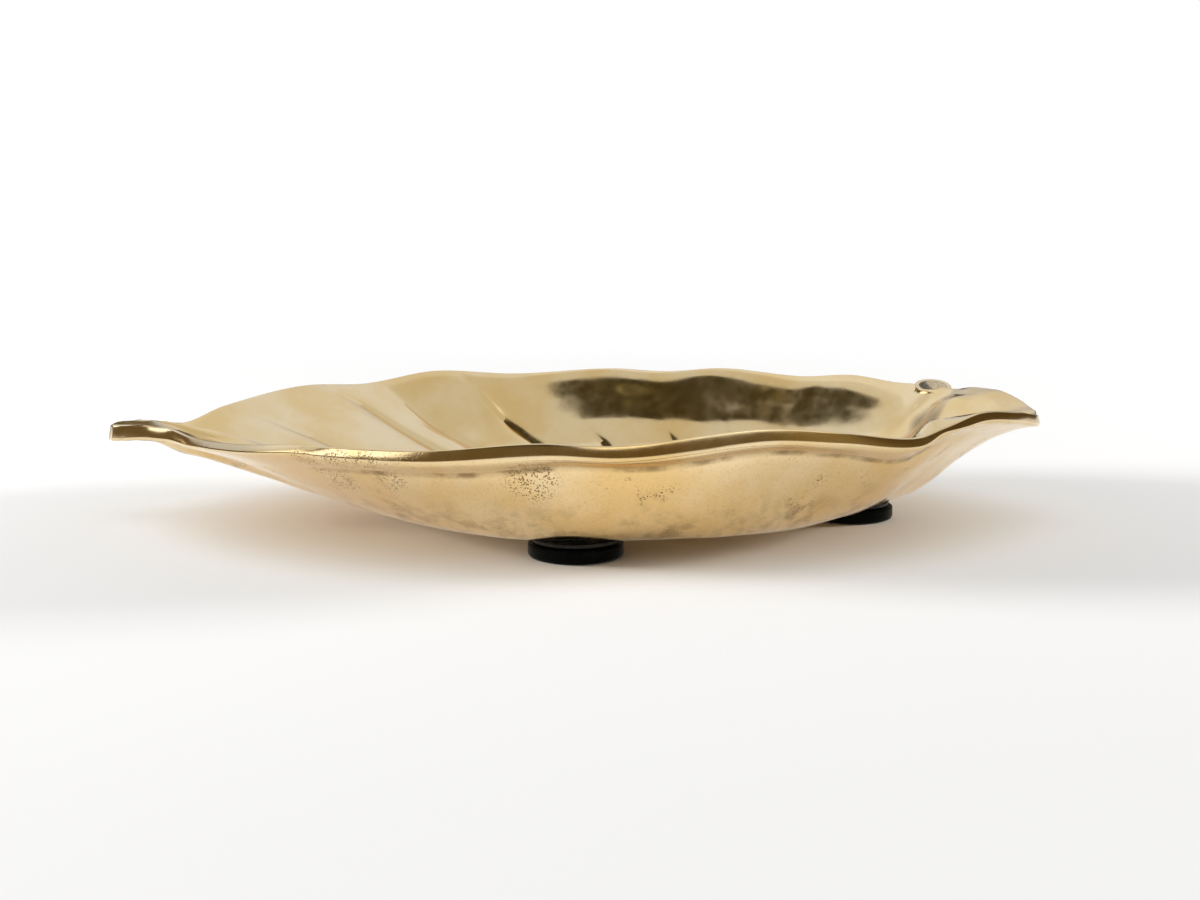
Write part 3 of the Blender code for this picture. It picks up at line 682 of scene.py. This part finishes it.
def join_stub(dish, stub):
    """Makes the stub one with the dish, and removes the loose stub."""
    join = dish.modifiers.new("stem stub", "BOOLEAN")
    join.operation = "UNION"
    join.solver = "EXACT"
    join.object = stub
    graph = bpy.context.evaluated_depsgraph_get()
    joined = bpy.data.meshes.new_from_object(dish.evaluated_get(graph))
    dish.modifiers.clear()
    old = dish.data
    dish.data = joined
    bpy.data.meshes.remove(old)
    bpy.data.objects.remove(stub)


class NodeBoard:
    """A material's node tree, with short ways to add and link nodes."""

    def __init__(self, name):
        self.material = bpy.data.materials.new(name)
        self.material.use_nodes = True
        self.tree = self.material.node_tree
        self.shader = self.tree.nodes["Principled BSDF"]
        self.where = self.add("ShaderNodeTexCoord").outputs["Object"]

    def fill(self, node, inputs):
        """Links each named input to a socket, or gives it a fixed value."""
        for name, value in inputs.items():
            if isinstance(value, bpy.types.NodeSocket):
                self.tree.links.new(value, node.inputs[name])
            else:
                node.inputs[name].default_value = value

    def add(self, kind, inputs=None, **values):
        """Adds a node, sets its own values and fills its inputs."""
        node = self.tree.nodes.new(kind)
        for name, value in values.items():
            setattr(node, name, value)
        self.fill(node, inputs or {})
        return node

    def finish(self, inputs):
        """Fills the usual shader's inputs."""
        self.fill(self.shader, inputs)
        return self.material

    def show(self, surface):
        """Makes another shader the material's surface."""
        self.fill(self.tree.nodes["Material Output"], {"Surface": surface})
        return self.material

    def axes(self):
        """The object's own X, Y and Z."""
        return self.add("ShaderNodeSeparateXYZ", {"Vector": self.where}).outputs

    def layer(self, name):
        """A value that the mesh carries."""
        return self.add("ShaderNodeAttribute", attribute_name=name).outputs["Fac"]

    def noise(self, scale, detail=2.0, roughness=0.5):
        """A noise pattern."""
        inputs = {"Vector": self.where, "Scale": scale, "Detail": detail,
                  "Roughness": roughness}
        return self.add("ShaderNodeTexNoise", inputs).outputs["Fac"]

    def ramp(self, source, low, high, out_low=0.0, out_high=1.0):
        """Maps low..high to out_low..out_high, eased and clamped."""
        inputs = {"Value": source, "From Min": low, "From Max": high, "To Min": out_low,
                  "To Max": out_high}
        node = self.add("ShaderNodeMapRange", inputs, interpolation_type="SMOOTHSTEP")
        return node.outputs["Result"]

    def math(self, operation, first, second):
        """Arithmetic on two sockets, or a socket and a number."""
        node = self.add("ShaderNodeMath", {0: first, 1: second}, operation=operation)
        return node.outputs["Value"]

    def times(self, first, *others):
        """The product of sockets and numbers."""
        for other in others:
            first = self.math("MULTIPLY", first, other)
        return first

    def vector(self, operation, where, fixed=(0, 0, 0), result="Value"):
        """Vector arithmetic on a socket and a fixed vector."""
        node = self.add("ShaderNodeVectorMath", {0: where, 1: fixed}, operation=operation)
        return node.outputs[result]

    def near(self, places, full_share):
        """1 near one of the places, up to a share of its reach, and 0 from its reach on."""
        nearest = 0
        for centre, reach in places:
            distance = self.vector("DISTANCE", self.where, centre)
            here = self.ramp(distance, reach, full_share * reach)
            nearest = self.math("MAXIMUM", nearest, here)
        return nearest

    def mix(self, factor, first, second):
        """Mixes two colours."""
        node = self.add("ShaderNodeMix", {"Factor": factor}, data_type="RGBA")
        places = [i for i, socket in enumerate(node.inputs) if socket.type == "RGBA"]
        colours = [value if isinstance(value, bpy.types.NodeSocket) else (*value, 1)
                   for value in (first, second)]
        self.fill(node, dict(zip(places, colours)))
        return next(s for s in node.outputs if s.type == "RGBA")

    def bump(self, height, distance, strength=1.0, before=None):
        """A bump from a height pattern."""
        inputs = {"Height": height, "Distance": distance, "Strength": strength}
        if before:
            inputs["Normal"] = before
        return self.add("ShaderNodeBump", inputs).outputs["Normal"]

    def emission(self, colour, strength=1.0):
        """A glow."""
        inputs = {"Color": colour, "Strength": strength}
        return self.add("ShaderNodeEmission", inputs).outputs["Emission"]


def with_tarnish_and_painted_shade(board, colour, tarnish_and_shade_brown):
    """Painted shade low on the outer face, in the crease under the lip and in the hollows by the
    root, and tarnish in fine specks."""
    outside = board.layer("outside")
    # painted shade: darker towards the bottom of the outer face, in clouds
    low = board.ramp(board.axes()["Z"], 0.0145, 0.0045)
    cloud = board.ramp(board.noise(240, 4, 0.6), 0.42, 0.66)
    colour = board.mix(board.times(low, cloud, outside, 0.45), colour, tarnish_and_shade_brown)
    # painted shade in the crease under the lip, in patches
    kept = board.ramp(board.noise(170, 4, 0.6), 0.40, 0.62, 0.15, 0.75)
    crease = board.ramp(board.layer("crease"), 0.70, 1.0)
    colour = board.mix(board.times(crease, kept), colour, tarnish_and_shade_brown)
    # painted shade under the stem's root
    root_shade = board.near(ROOT_SHADE_SPOTS, 0.1)
    colour = board.mix(board.times(root_shade, 0.55), colour, tarnish_and_shade_brown)
    speck = board.ramp(board.noise(2400, 2, 0.7), 0.50, 0.72)
    return board.mix(board.times(speck, outside, 0.16), colour, tarnish_and_shade_brown)


def casting_pits(board):
    """1 in the small pits of the outer face, which crowd in a few places."""
    crowd = board.ramp(board.noise(120, 3, 0.6), 0.60, 0.72)
    crowd = board.math("MAXIMUM", crowd, board.near(PIT_CROWDS, 0.4))
    scatter = board.ramp(board.noise(900, 1), 0.36, 0.48)
    cells = board.add("ShaderNodeTexVoronoi", {"Vector": board.where, "Scale": 2700})
    spot = board.ramp(cells.outputs["Distance"], 0.44, 0.26)
    return board.times(spot, scatter, board.layer("outside"), crowd)


def sawn_face(board, leaf, stub, saw_marks):
    """1 on the stub's sawn face, and how much of it shines: painted shade darkens it towards its
    left side.
    """
    facing = Vector((0, -math.sin(stub.tilt), math.cos(stub.tilt)))
    level = facing.dot(leaf.stub_top) - stub.edge / 4
    over = board.vector("DOT_PRODUCT", board.where, facing)
    sawn = board.ramp(over, level - stub.edge / 2, level - stub.edge / 4)
    across = stub.diameter / 2 - stub.edge * SAWN_SHARE
    sawn = board.times(sawn, board.near([(leaf.stub_top, across)], 0.9))
    left, middle = leaf.stub_top.x - across, leaf.stub_top.x
    # painted shade: the sawn face darker towards its left side
    side = board.ramp(board.axes()["X"], left, middle, -0.35, 0.1)
    return sawn, board.ramp(board.math("ADD", saw_marks, side), 0.42, 0.58)


def brass_material(finish, leaf, stub):
    """Polished brass inside; outside a duller casting with pits, a little patina and painted
    shade. The stub's sawn face is rough and dark, with painted shade towards its left side."""
    board = NodeBoard("leaf_brass")
    tone = board.ramp(board.noise(55, 5, 0.55), 0.35, 0.68)
    colour = board.mix(tone, finish.bright, finish.warm)
    colour = with_tarnish_and_painted_shade(board, colour, finish.tarnish_and_shade_brown)
    pits = casting_pits(board)
    colour = board.mix(board.times(pits, 0.9), colour, finish.tarnish_and_shade_brown)
    saw_marks = board.noise(2600, 3, 0.7)
    sawn, shine = sawn_face(board, leaf, stub, saw_marks)
    # the sawn face: dark, with painted shade towards its left, and bright brass in the saw marks
    colour = board.mix(sawn, colour, board.mix(shine, SAWN_DARK_AND_SHADE, finish.bright))
    rough = board.ramp(board.noise(420, 4, 0.6), 0.3, 0.7, 0.10, 0.16)
    for pattern, more in ((sawn, 0.15), (board.layer("outside"), 0.05), (pits, 0.25)):
        rough = board.math("ADD", rough, board.times(pattern, more))
    grain = board.bump(board.noise(700, 3, 0.5), 0.00001, 0.3)
    sunk = board.bump(board.times(pits, -1), 0.00008, 0.8, grain)
    marks = board.bump(board.times(saw_marks, sawn), 0.0004, 1.0, sunk)
    return board.finish({"Base Color": colour, "Metallic": 1.0, "Roughness": rough,
                         "Normal": marks})


def rubber_material(feet):
    """Moulded black rubber with a slight sheen."""
    board = NodeBoard("foot_rubber")
    dust = board.ramp(board.noise(700, 4, 0.6), 0.5, 0.8)
    colour = board.mix(dust, feet.colour, [3 * c for c in feet.colour])
    rough = board.ramp(board.noise(500, 3), 0.3, 0.7, 0.28, 0.40)
    grain = board.bump(board.noise(4000, 3), 0.00002, 0.3)
    return board.finish({"Base Color": colour, "Roughness": rough,
                         "Specular IOR Level": 0.04, "Normal": grain})


def adhesive_material():
    """Cloudy clear adhesive film."""
    board = NodeBoard("foot_adhesive")
    cloud = board.ramp(board.noise(900, 3), 0.35, 0.7)
    film = board.mix(cloud, (0.012, 0.012, 0.011), (0.022, 0.021, 0.019))
    rough = board.ramp(board.noise(1500, 2), 0.3, 0.7, 0.35, 0.5)
    return board.finish({"Base Color": film, "Roughness": rough, "Specular IOR Level": 0.2})


class LEAFDISH_OT_blade(bpy.types.Operator):
    """Cast the leaf: floor, wall, waved rim, veins, midrib and the stem's cut stub"""
    bl_idname = "leaf_dish.blade"
    bl_label = "Leaf blade"

    def execute(self, context):
        scene = context.scene
        leaf = LeafPlan(scene.leaf_blade, scene.leaf_stub)
        sheet = inner_face(leaf)
        thicken_sheet(sheet, leaf)
        brass = brass_material(scene.leaf_brass, leaf, scene.leaf_stub)
        dish = add_piece("leaf_dish", sheet, brass)
        join_stub(dish, add_piece("stub", stem_stub(leaf, scene.leaf_stub), brass))
        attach(dish, "root")
        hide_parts("leaf_tray")
        return {"FINISHED"}


class LEAFDISH_OT_feet(bpy.types.Operator):
    """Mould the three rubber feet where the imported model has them"""
    bl_idname = "leaf_dish.feet"
    bl_label = "Rubber feet"

    def execute(self, context):
        feet = context.scene.leaf_feet
        rubber = rubber_material(feet)
        for name in FOOT_NAMES:
            low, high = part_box(name + "_foot")
            shape = bmesh.new()
            radius = (high.x - low.x) / 2
            bmesh.ops.create_cone(shape, cap_ends=True, segments=128, radius1=radius,
                                  radius2=radius, depth=high.z - low.z)
            for above, offset in ((True, feet.top_edge), (False, feet.bottom_edge)):
                ends = [e for e in shape.edges if all((v.co.z > 0) == above for v in e.verts)]
                round_off(shape, ends, offset, 5)
            bmesh.ops.translate(shape, verts=shape.verts, vec=(low + high) / 2)
            bumper = add_piece(name + "_bumper", shape, rubber)
            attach(bumper, "root")
            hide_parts(name + "_foot")
        return {"FINISHED"}


class LEAFDISH_OT_adhesive(bpy.types.Operator):
    """Give the adhesive discs between feet and dish their finish"""
    bl_idname = "leaf_dish.adhesive"
    bl_label = "Adhesive discs"

    def execute(self, context):
        film = adhesive_material()
        for name in FOOT_NAMES:
            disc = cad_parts[name + "_adhesive"]
            for slot in disc.material_slots:
                slot.material = film
        return {"FINISHED"}


def tent_material():
    """The light tent's inside as the metal sees it: white, with a dark gap low down all round
    and a dark opening above the camera's left, in which two lamps show faintly."""
    board = NodeBoard("light_tent")
    place = board.axes()
    turn = board.math("ARCTAN2", place["X"], board.times(place["Y"], -1))
    turn = board.times(turn, 180 / math.pi)
    up = board.math("ARCSINE", board.math("DIVIDE", place["Z"], TENT_RADIUS), 0)
    up = board.times(up, 180 / math.pi)

    def window(value, low, high, soft):
        """1 between two bounds."""
        return board.times(board.ramp(value, low - soft, low + soft),
                           board.ramp(value, high + soft, high - soft))

    def patch(turns, ups, soft):
        """1 in a patch of the tent."""
        return board.times(window(turn, *turns, soft), window(up, *ups, soft))

    aside = board.math("ABSOLUTE", turn, 0)
    glow = board.mix(board.ramp(aside, 55, 140), (0.76, 0.76, 0.72), (0.90, 0.94, 1.02))
    tone = board.math("ADD", board.ramp(up, 15, 60), board.noise(0.5, 2))
    glow = board.mix(board.ramp(tone, 0.5, 1.3, 0.45, 0.0), glow, (0.35, 0.34, 0.32))
    glow = board.mix(patch(*BACK_LIGHT), glow, (1.0, 1.06, 1.18))
    glow = board.mix(patch(*RIGHT_LIGHT), glow, (1.9, 1.9, 1.8))
    edge = board.math("ADD", board.ramp(turn, -75, -60, 55.2, 53.2),
                      board.ramp(turn, -14, -10, 0, 3.8))
    edge = board.math("SUBTRACT", edge, board.ramp(turn, -3, 9, 0, 24))
    below_edge = board.ramp(board.math("SUBTRACT", edge, up), -1, 1)
    dark = board.times(below_edge, patch(*OPENING))
    glow = board.mix(dark, glow, (0.058, 0.047, 0.020))
    gap_top = board.math("SUBTRACT", 34, board.times(board.ramp(aside, 95, 135), 20))
    low = board.ramp(board.math("SUBTRACT", up, gap_top), 2, -2)
    gap = board.mix(window(turn, 45, 70, 8), (0.155, 0.108, 0.046), (0.27, 0.20, 0.085))
    gap = board.mix(board.ramp(turn, 70, 78), gap, (0.10, 0.065, 0.022))
    glow = board.mix(low, glow, gap)
    glow = board.mix(patch(*LEFT_LIGHT), glow, (1.9, 1.9, 1.9))
    for lamp in LAMPS_SEEN:
        glow = board.mix(patch(*lamp), glow, (0.40, 0.36, 0.19))
    return board.show(board.emission(glow))


def add_tent():
    """A dome that only reflections see."""
    shape = bmesh.new()
    bmesh.ops.create_uvsphere(shape, u_segments=64, v_segments=32, radius=TENT_RADIUS)
    tent = add_piece("light_tent", shape, tent_material())
    tent.visible_camera = False
    tent.visible_diffuse = False
    tent.visible_shadow = False


def add_lamp(name, power, size, place):
    """A soft square lamp aimed at the dish, which lights the floor and the rubber. The brass
    doesn't show it."""
    light = bpy.data.lights.new(name, "AREA")
    light.energy = power
    light.size = size
    lamp = bpy.data.objects.new(name, light)
    lamp.location = place
    lamp.rotation_euler = (-Vector(place)).to_track_quat("-Z", "Y").to_euler()
    lamp.visible_glossy = False
    bpy.context.scene.collection.objects.link(lamp)


def white_world():
    """White where the camera sees it, and a soft fill for all else."""
    world = bpy.data.worlds.new("white_room")
    world.use_nodes = True
    bpy.context.scene.world = world
    tree = world.node_tree
    path = tree.nodes.new("ShaderNodeLightPath")
    level = tree.nodes.new("ShaderNodeMapRange")
    level.inputs["To Min"].default_value = ROOM_FILL
    tree.links.new(path.outputs["Is Camera Ray"], level.inputs["Value"])
    background = tree.nodes["Background"]
    background.inputs["Color"].default_value = (1, 1, 1, 1)
    tree.links.new(level.outputs["Result"], background.inputs["Strength"])


def floor_material(studio):
    """White board that fades into the white background away from the dish, with painted warm glow
    and shade under it. The brass sees it dimmer far off, and brighter near the dish by a painted
    glow."""
    board = NodeBoard("white_board")
    far = board.ramp(board.vector("LENGTH", board.where), *FLOOR_FADE)
    squeezed = board.vector("MULTIPLY", board.where, FLOOR_SQUEEZE, "Vector")
    # painted warm glow and shade on the board under the dish
    painted_glow_and_shade = board.ramp(board.vector("LENGTH", squeezed), *PAINTED_GLOW_AND_SHADE_REACH)
    colour = board.mix(painted_glow_and_shade, studio.floor_colour, studio.painted_glow_and_shade_colour)
    board.finish({"Base Color": colour, "Roughness": 0.8, "Specular IOR Level": 0.0})
    mirrored = board.add("ShaderNodeLightPath").outputs["Is Glossy Ray"]
    glow = board.emission((1, 1, 1, 1), board.ramp(mirrored, 0, 1, 1.0, 0.84))
    matt = board.shader.outputs["BSDF"]
    blend = board.add("ShaderNodeMixShader", {"Fac": far, 1: matt, 2: glow})
    # painted glow in the near board, seen only in reflections in the brass
    near = board.math("SUBTRACT", PAINTED_FLOOR_GLOW, board.times(far, PAINTED_FLOOR_GLOW))
    lift = board.emission((1.0, 0.97, 0.86, 1), board.times(mirrored, near))
    both = board.add("ShaderNodeAddShader", {0: blend.outputs["Shader"], 1: lift})
    return board.show(both.outputs["Shader"])


class LEAFDISH_OT_studio(bpy.types.Operator):
    """Set up the white board, the light tent that the metal reflects, the lamps and the camera"""
    bl_idname = "leaf_dish.studio"
    bl_label = "Studio"

    def execute(self, context):
        studio = context.scene.leaf_studio
        shape = bmesh.new()
        bmesh.ops.create_grid(shape, x_segments=1, y_segments=1, size=3.0)
        floor = add_piece("white_board", shape, floor_material(studio))
        white_world()
        add_tent()
        for lamp in LAMPS:
            add_lamp(*lamp)
        camera = bpy.data.objects.new("camera", bpy.data.cameras.new("camera"))
        camera.data.lens = studio.lens
        camera.data.sensor_width = 36
        camera.data.clip_start = 0.01
        camera.location = studio.camera_place
        camera.rotation_euler = (math.pi / 2 - studio.camera_pitch, 0, 0)
        context.scene.collection.objects.link(camera)
        context.scene.camera = camera
        context.scene.view_settings.view_transform = "Standard"
        return {"FINISHED"}


class LEAFDISH_PT_panel(bpy.types.Panel):
    """Lists the dish's operators"""
    bl_label = "Leaf dish"
    bl_idname = "LEAFDISH_PT_panel"
    bl_space_type = "VIEW_3D"
    bl_region_type = "UI"
    bl_category = "Leaf dish"

    def draw(self, context):
        for operator in OPERATORS:
            self.layout.operator(operator.bl_idname)


OPERATORS = (LEAFDISH_OT_blade, LEAFDISH_OT_feet, LEAFDISH_OT_adhesive, LEAFDISH_OT_studio)
SETTINGS = {
    "leaf_blade": LeafBlade,
    "leaf_stub": StemStub,
    "leaf_feet": RubberFeet,
    "leaf_brass": BrassFinish,
    "leaf_studio": Studio,
}
CLASSES = (*SETTINGS.values(), *OPERATORS, LEAFDISH_PT_panel)


def register():
    """Registers the classes and hangs the settings on the scene."""
    for cls in CLASSES:
        bpy.utils.register_class(cls)
    for name, cls in SETTINGS.items():
        setattr(bpy.types.Scene, name, PointerProperty(type=cls))


def unregister():
    """Takes back what register did."""
    for name in SETTINGS:
        delattr(bpy.types.Scene, name)
    for cls in reversed(CLASSES):
        bpy.utils.unregister_class(cls)


def main():
    """Runs every operator in order."""
    register()
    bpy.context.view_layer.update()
    bpy.ops.leaf_dish.studio()
    bpy.ops.leaf_dish.blade()
    bpy.ops.leaf_dish.feet()
    bpy.ops.leaf_dish.adhesive()


if __name__ == "__main__":
    main()
